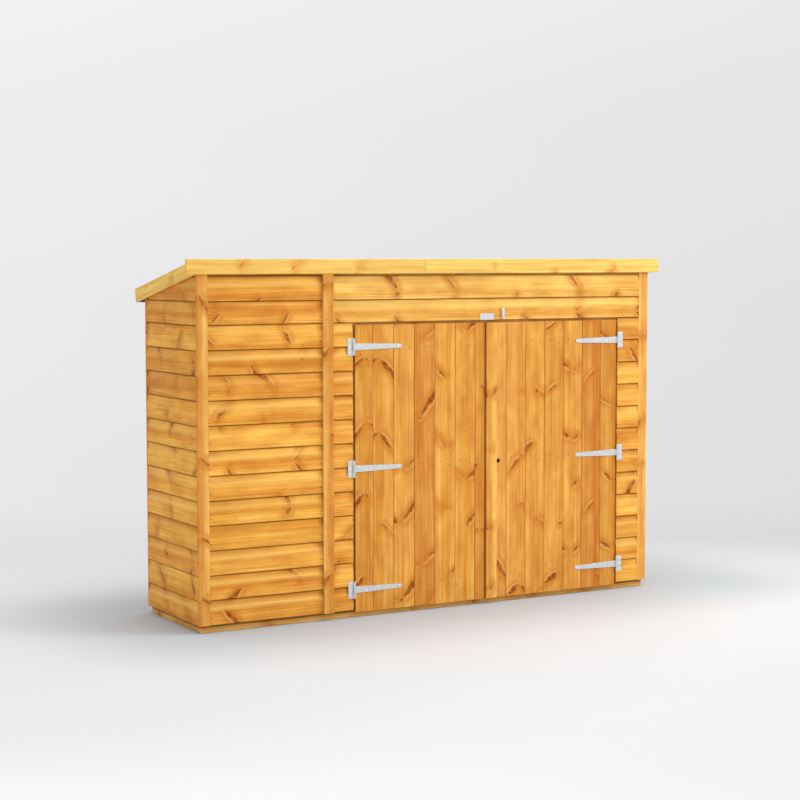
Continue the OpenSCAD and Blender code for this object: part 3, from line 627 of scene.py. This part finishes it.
planks = {
    "shed": (
        ("frontStuds", "front_studs"), ("frontRails", "front_rails"), ("backStuds", "back_studs"),
        ("backRails", "back_rails"), ("endStuds", "end_studs"), ("endRails", "end_rails"),
        ("doorStops", "door_stops"), ("roofPurlin", "roof_purlin"),
    ),
    "left_door": (("leftDoorLedges", "left_door_ledges"), ("leftDoorBraces", "left_door_braces")),
    "right_door": (("rightDoorLedges", "right_door_ledges"), ("rightDoorBraces", "right_door_braces")),
    "joists": (("longJoists", "floor_long_joists"), ("crossJoists", "floor_cross_joists")),
    "arris": 0.0015, "shadeUnderCladding": ((0.0, 0.10), (0.020, 0.12), (0.026, 0.95)),     # painted shade under the cladding's lower edge, darkest on the joists' tops, by height
}
for name, node in planks["joists"]:
    joists = []
    for joist in solidsIn(cadCopy(node)):
        softenEdges(joist, planks["arris"])
        layLog(joist)
        # painted shade: the tops of the joists are darkened where the cladding above them shades them
        for height, shadeUnderCladding in planks["shadeUnderCladding"]:
            everything = joist.verts[:] + joist.edges[:] + joist.faces[:]
            bmesh.ops.bisect_plane(joist, geom=everything, plane_co=zAxis * height, plane_no=zAxis)
            dipShadeLayer = joist.verts.layers.float["dipShadeAndHighlight"]
            for vert in joist.verts:
                if vert.co.z > height - meshing["touch"]:
                    vert[dipShadeLayer] = shadeUnderCladding
        joists.append(joist)
    finishPiece(name, gather(joists), plinthWood, "shed", "frame_wood", node)
for body in ("shed", "left_door", "right_door"):
    for name, node in planks[body]:
        sawn = [layLog(softenEdges(solid, planks["arris"])) for solid in solidsIn(cadCopy(node))]
        finishPiece(name, gather(sawn), sawnWood, body, "frame_wood", node)

trim = {
    "strips": (("leftCornerStrip", "left_corner_strip", "shed"), ("panelJointStrip", "panel_joint_strip", "shed"),
               ("rightCornerStrip", "right_corner_strip", "shed"), ("backCoverStrips", "back_cover_strips", "shed"),
               ("meetingStrip", "meeting_strip", "right_door")),
    "barges": (("leftBargeBoard", "left_barge_board"), ("rightBargeBoard", "right_barge_board")),
    "arris": 0.0020, "fasciaJoint": -0.0766, "jointGap": 0.0006,
}
for name, node, body in trim["strips"]:
    strips = [layLog(softenEdges(solid, trim["arris"])) for solid in solidsIn(cadCopy(node))]
    finishPiece(name, gather(strips), trimWood, body, "trim_wood", node)
for name, node in trim["barges"]:
    finishPiece(name, gather([layLog(softenEdges(cadCopy(node), trim["arris"]))]), fasciaWood, "shed", "trim_wood",
                node)


def sliceBoards(node, axis, places, gap, arris, grain, outward, groove=None):     # a node cut into boards
    boards = []
    ends = [axis.dot(corner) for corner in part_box(node)]
    for first, last in zip(places, places[1:]):
        board = softenEdges(keepBetween(cadCopy(node), axis, first + gap / 2, last - gap / 2), arris)
        if groove:
            # painted shade in the V joints, with some dip, and on the leaf's outer edges
            dipShadeLayer = board.verts.layers.float.new("dipShadeAndHighlight")
            face = max(v.co.dot(outward) for v in board.verts)
            for vert in board.verts:
                deep = face - vert.co.dot(outward)
                vert[dipShadeLayer] = groove["grooveShade"] if groove["from"] < deep < groove["to"] else 0.0
                if min(abs(vert.co.dot(axis) - end) for end in ends) < meshing["touch"]:
                    vert[dipShadeLayer] = groove["edgeShade"]       # painted shade on the leaf's own outer edges
        boards.append(layLog(board, grain, outward))
    return gather(boards)


fasciaLow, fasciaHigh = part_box("front_fascia")
fasciaPlaces = (fasciaLow.x - meshing["cutPast"], trim["fasciaJoint"], fasciaHigh.x + meshing["cutPast"])
fascia = sliceBoards("front_fascia", xAxis, fasciaPlaces, trim["jointGap"], trim["arris"], xAxis, -yAxis)
finishPiece("frontFascia", fascia, fasciaWood, "shed", "trim_wood", "front_fascia")

doors = {
    "board": 0.1105, "hingeBoard": 0.093, "narrowest": 0.005, "gap": 0.0004, "arris": 0.0005,
    "groove": {"from": 0.0020, "to": 0.0050, "grooveShade": 0.35, "edgeShade": 0.9},   # depths where a V joint is painted with shade
}


def boardEdges(start, end, step, first):       # joints counted from the hinge side
    way = 1 if end > start else -1
    places = [start - way * meshing["cutPast"]]
    place = start + way * first
    while (end - place) * way > doors["narrowest"]:
        places.append(place)
        place += way * step
    return sorted(places + [end + way * meshing["cutPast"]])


doorEdges = {}
for side, body in (("left", "left_door"), ("right", "right_door")):
    node = side + "_door_boards"
    low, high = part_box(node)
    ends = (low.x, high.x) if side == "left" else (high.x, low.x)
    doorEdges[side] = boardEdges(*ends, doors["board"], doors["hingeBoard"])
    leaf = sliceBoards(node, xAxis, doorEdges[side], doors["gap"], doors["arris"], zAxis, -yAxis,
                       doors["groove"])
    finishPiece(side + "DoorBoards", leaf, doorWood, body, "door_wood", node)

slabs = {"board": 0.1105, "gap": 0.0008, "arris": 0.001}


def evenPlaces(low, high):         # joints between boards of equal width
    count = round((high - low) / slabs["board"])
    inner = [low + (high - low) * k / count for k in range(1, count)]
    return [low - meshing["cutPast"]] + inner + [high + meshing["cutPast"]]


low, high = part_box("floor_boards")
floorBoards = sliceBoards("floor_boards", xAxis, evenPlaces(low.x, high.x), slabs["gap"], slabs["arris"], yAxis,
                          zAxis)
finishPiece("floorBoards", floorBoards, sawnWood, "shed", "frame_wood", "floor_boards")
low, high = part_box("roof_deck")
roofBoards = sliceBoards("roof_deck", yAxis, evenPlaces(low.y, high.y), slabs["gap"], slabs["arris"], xAxis,
                         -roofNormal)
finishPiece("roofBoards", roofBoards, sawnWood, "shed", "frame_wood", "roof_deck")
print("framing, trim, doors, floor and roof boards made")

roofing = {"arris": 0.0012, "cloutEvery": 0.12, "cloutUp": 0.022}
roofFelt = softenEdges(cadCopy("roof_felt"), roofing["arris"])
finishPiece("roofFelt", roofFelt, felt, "shed", "roofing_felt", "roof_felt")

metalNodes = (
    (zinc, ("left_hinge_plates", "right_hinge_plates", "left_hinge_straps", "right_hinge_straps", "turn_button",
            "button_screw")),
    (enamel, ("rim_lock", "lock_keep")),
)
for material, nodes in metalNodes:
    for node in nodes:
        cadNodes[node].data.materials.clear()
        cadNodes[node].data.materials.append(material)

# Heads of nails and screws, many in one mesh: a low cone frustum turned to face outwards
heads = {
    "nail": {"radius": 0.0030, "high": 0.0007, "sides": 10, "round": 0.75},
    "screw": {"radius": 0.0042, "high": 0.0012, "sides": 14, "round": 0.55},
    "clout": {"radius": 0.0045, "high": 0.0009, "sides": 10, "round": 0.85},
}


def putHeads(name, kind, places, outward, material, body, slot):
    look = heads[kind]
    bm = bmesh.new()
    turned = outward.to_track_quat("Z", "Y").to_matrix().to_4x4()
    for place in places:
        at = Matrix.Translation(Vector(place) + outward * look["high"] / 2) @ turned
        bmesh.ops.create_cone(bm, cap_ends=True, cap_tris=False, segments=look["sides"], radius1=look["radius"],
                              radius2=look["radius"] * look["round"], depth=look["high"], matrix=at)
    return finishPiece(name, bm, material, body, slot)


def boxesOf(node):                 # lowest and highest corner of each solid in a node
    corners = []
    for solid in solidsIn(cadCopy(node)):
        points = [v.co for v in solid.verts]
        corners.append((Vector([min(p[k] for p in points) for k in range(3)]),
                        Vector([max(p[k] for p in points) for k in range(3)])))
        solid.free()
    return corners


hingeScrews = {
    "strap": ((0.027, 0.007), (0.066, -0.007), (0.134, 0.005), (0.236, 0.0)),      # from the pin, and up
    "plate": (0.030, 0.0, -0.026), "plateIn": 0.011, "thick": 0.003,
}
pins = {joint["child"]: Vector(joint["pos_m"]) for joint in frame["joints"]}
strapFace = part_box("left_door_boards")[0].y - hingeScrews["thick"]
for side, way in (("left", 1), ("right", -1)):
    pin = pins[side + "_door"]
    straps, plates = [], []
    for low, high in boxesOf(side + "_hinge_straps"):
        middle = (low.z + high.z) / 2
        straps += [(pin.x + way * reach, strapFace, middle + up) for reach, up in hingeScrews["strap"]]
    for low, high in boxesOf(side + "_hinge_plates"):
        x = low.x + hingeScrews["plateIn"] if side == "left" else high.x - hingeScrews["plateIn"]
        plates += [(x, strapFace, (low.z + high.z) / 2 + up) for up in hingeScrews["plate"]]
    putHeads(side + "StrapScrews", "screw", straps, -yAxis, screwZinc, side + "_door", "galvanised_steel")
    putHeads(side + "PlateScrews", "screw", plates, -yAxis, screwZinc, "shed", "galvanised_steel")

nails = {"fromEdge": 0.030, "zigzag": 0.009, "leastBoard": 0.06, "fromSeam": 0.031, "fromStrip": 0.007}
for side in ("left", "right"):
    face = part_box(side + "_door_boards")[0].y
    spots = []
    for low, high in boxesOf(side + "_door_ledges"):
        middle = (low.z + high.z) / 2
        for first, last in zip(doorEdges[side], doorEdges[side][1:]):
            for x, up in ((first + nails["fromEdge"], 1), (last - nails["fromEdge"], -1)):
                if low.x < x < high.x and last - first > nails["leastBoard"]:
                    spots.append((x, face, middle + up * nails["zigzag"]))
    putHeads(side + "DoorNails", "nail", spots, -yAxis, stainedNail, side + "_door", "galvanised_steel")

spots = []
panelEnds = (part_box("left_corner_strip")[1].x + nails["fromStrip"],
             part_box("panel_joint_strip")[0].x - nails["fromStrip"])
for number in range(headBoards + 1):
    spots += [(x, frontFace, seamHeight(number) + nails["fromSeam"]) for x in panelEnds]
putHeads("frontWallNails", "nail", spots, -yAxis, stainedNail, "shed", "galvanised_steel")
low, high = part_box("roof_felt")
count = round((high.x - low.x) / roofing["cloutEvery"])
spots = [(low.x + (high.x - low.x) * (k + 0.5) / count, high.y, low.z + roofing["cloutUp"]) for k in range(count)]
putHeads("feltClouts", "clout", spots, yAxis, zinc, "shed", "galvanised_steel")
print("hinge screws and nails made")

# Blank plate over the doors: thin zinc-grey sheet with rounded corners
plate = {"low": (0.2325, 1.3565), "high": (0.3088, 1.3872), "thick": 0.0012, "corner": 0.003}
bm = bmesh.new()
bmesh.ops.create_cube(bm, size=1.0)
bmesh.ops.scale(bm, verts=bm.verts, vec=(plate["high"][0] - plate["low"][0], plate["thick"],
                                         plate["high"][1] - plate["low"][1]))
corners = [e for e in bm.edges if e.verts[0].co.xz == e.verts[1].co.xz]
bmesh.ops.bevel(bm, geom=corners, offset=plate["corner"], offset_type="OFFSET", segments=3, profile=0.5,
                affect="EDGES", material=-1)
bmesh.ops.translate(bm, verts=bm.verts, vec=((plate["low"][0] + plate["high"][0]) / 2, frontFace - plate["thick"] / 2,
                                             (plate["low"][1] + plate["high"][1]) / 2))
finishPiece("blankPlate", bm, zinc, "shed", "galvanised_steel")

# Studio: pale floor that fades out round the shed, and a pale grey world behind it
studio = {
    "floorRadius": 9.0, "floorSides": 64, "floorDown": 0.0005, "floorFar": "#dcdee0", "paintedFloorShadow": "#bec5ca",
    "nearTo": 0.9, "shadowRight": (0.17, 0.0, 0.0),     # the painted shadow reaches a little further to the right
    "solid": (2.3, 1.3), "fadeFrom": 0.9, "gone": 1.9, "middle": (-0.75, -0.55, 0.0),
    "glowBelow": 0.46, "glowAbove": 1.06, "dimmer": 0.17,      # less light comes from the left
    "lowest": -20.0, "highest": 10.0,
    "left": (-0.867, 0.498, 0.0), "paler": 0.20,   # the backdrop is a little paler to the left of the camera
    "shades": ((-20.0, "#fdfdfd"), (-14.0, "#f8f8f8"), (-10.8, "#e9e9e9"), (-9.0, "#dddddd"), (-7.0, "#e4e4e4"),
               (-2.0, "#e6e6e6"), (3.0, "#e9e9e9"), (10.0, "#efefef")),
}
bm = bmesh.new()
bmesh.ops.create_circle(bm, cap_ends=True, segments=studio["floorSides"], radius=studio["floorRadius"],
                        matrix=Matrix.Translation(-zAxis * studio["floorDown"]))
floorMesh = bpy.data.meshes.new("studioFloor")
bm.to_mesh(floorMesh)
bm.free()
studioFloor = bpy.data.objects.new("studioFloor", floorMesh)
bpy.context.scene.collection.objects.link(studioFloor)
floorMaterial, tree, shader = newMaterial("paperFloor")
floorMesh.materials.append(floorMaterial)
shader.inputs["Roughness"].default_value = 1.0
shader.inputs["Specular IOR Level"].default_value = 0.0
spot = addNode(tree, "ShaderNodeTexCoord").outputs["Object"]
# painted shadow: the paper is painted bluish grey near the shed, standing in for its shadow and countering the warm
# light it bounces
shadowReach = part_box("floor_boards")[1] + Vector(studio["shadowRight"])
beside = calcVector(tree, "SUBTRACT", spot, studio["shadowRight"])
beside = calcVector(tree, "ABSOLUTE", beside)
beside = calcVector(tree, "SUBTRACT", beside, shadowReach)
beside = calcVector(tree, "MAXIMUM", beside, (0, 0, 0))
beside = calcVector(tree, "LENGTH", beside).outputs["Value"]
beside = easeBetween(tree, beside, 0.0, studio["nearTo"])
paper = mixColours(tree, beside, linear(studio["paintedFloorShadow"]), linear(studio["floorFar"]))
tree.links.new(paper, shader.inputs["Base Color"])
fromShed = calcVector(tree, "SUBTRACT", spot, studio["middle"])
share = calcVector(tree, "DIVIDE", fromShed, (*studio["solid"], 1.0))
away = calcVector(tree, "LENGTH", share).outputs["Value"]
fade = easeBetween(tree, away, studio["fadeFrom"], studio["gone"])
clear = addNode(tree, "ShaderNodeBsdfTransparent")
mixed = addNode(tree, "ShaderNodeMixShader", {0: fade, 1: shader.outputs[0], 2: clear})
tree.links.new(mixed.outputs[0], tree.nodes["Material Output"].inputs["Surface"])

world = bpy.data.worlds.new("studioWorld")
bpy.context.scene.world = world
world.use_nodes = True
tree = world.node_tree
direction = addNode(tree, "ShaderNodeTexCoord").outputs["Generated"]
sideways, _, steep = addNode(tree, "ShaderNodeSeparateXYZ", {0: direction}).outputs
rise = calc(tree, "ARCSINE", steep)
span = addNode(tree, "ShaderNodeMapRange", {"Value": rise, 1: math.radians(studio["lowest"]),
                                            2: math.radians(studio["highest"])})
ramp = addNode(tree, "ShaderNodeValToRGB", {0: span})
ramp.color_ramp.interpolation = "EASE"
while len(ramp.color_ramp.elements) < len(studio["shades"]):
    ramp.color_ramp.elements.new(0.5)
for element, (degrees, shade) in zip(ramp.color_ramp.elements, studio["shades"]):
    element.position = (degrees - studio["lowest"]) / (studio["highest"] - studio["lowest"])
    element.color = linear(shade)
aside = calcVector(tree, "DOT_PRODUCT", direction, studio["left"]).outputs["Value"]
paler = calc(tree, "MULTIPLY_ADD", aside, studio["paler"], 1.0)
seen = addNode(tree, "ShaderNodeBackground", {"Color": ramp, "Strength": paler})
soft = addNode(tree, "ShaderNodeMapRange", {"Value": steep, 1: -1.0, 3: studio["glowBelow"], 4: studio["glowAbove"]})
uneven = calc(tree, "MULTIPLY_ADD", sideways, studio["dimmer"], 1.0)
soft = calc(tree, "MULTIPLY", soft, uneven)
glow = addNode(tree, "ShaderNodeBackground", {"Color": (1, 1, 1, 1), "Strength": soft})
path = addNode(tree, "ShaderNodeLightPath").outputs
rays = calc(tree, "MAXIMUM", path["Is Camera Ray"], path["Is Glossy Ray"])
rays = calc(tree, "MAXIMUM", rays, path["Is Transmission Ray"])
mixed = addNode(tree, "ShaderNodeMixShader", {0: rays, 1: glow, 2: seen})
tree.links.new(mixed.outputs[0], tree.nodes["World Output"].inputs["Surface"])

lamps = {
    "key": {"at": (5.4, -4.2, 4.8), "aim": (0.2, -0.2, 0.7), "size": 2.6, "watts": 205},
    "top": {"at": (0.2, -2.2, 6.0), "aim": (0.0, -0.2, 0.6), "size": 4.0, "watts": 60},
}
for name, lamp in lamps.items():
    light = bpy.data.lights.new(name, "AREA")
    light.shape = "SQUARE"
    light.size = lamp["size"]
    light.energy = lamp["watts"]
    lampObject = bpy.data.objects.new(name, light)
    lampObject.location = lamp["at"]
    aim = Vector(lamp["aim"]) - Vector(lamp["at"])
    lampObject.rotation_euler = aim.to_track_quat("-Z", "Y").to_euler()
    bpy.context.scene.collection.objects.link(lampObject)

camera = {"at": (-4.4330, -7.6601, 1.6341), "turn": 29.864, "down": 4.311, "roll": -0.054,
          "lens": 82.94, "chip": 36.0}
cameraData = bpy.data.cameras.new("photoCamera")
cameraData.lens = camera["lens"]
cameraData.sensor_width = camera["chip"]
cameraObject = bpy.data.objects.new("photoCamera", cameraData)
bpy.context.scene.collection.objects.link(cameraObject)
cameraObject.matrix_world = (
    Matrix.Translation(camera["at"]) @ Matrix.Rotation(math.radians(-camera["turn"]), 4, "Z")
    @ Matrix.Rotation(math.radians(90 - camera["down"]), 4, "X")
    @ Matrix.Rotation(math.radians(camera["roll"]), 4, "Z"))
bpy.context.scene.camera = cameraObject
bpy.context.scene.view_settings.view_transform = "Standard"
print("studio, lamps and camera made")
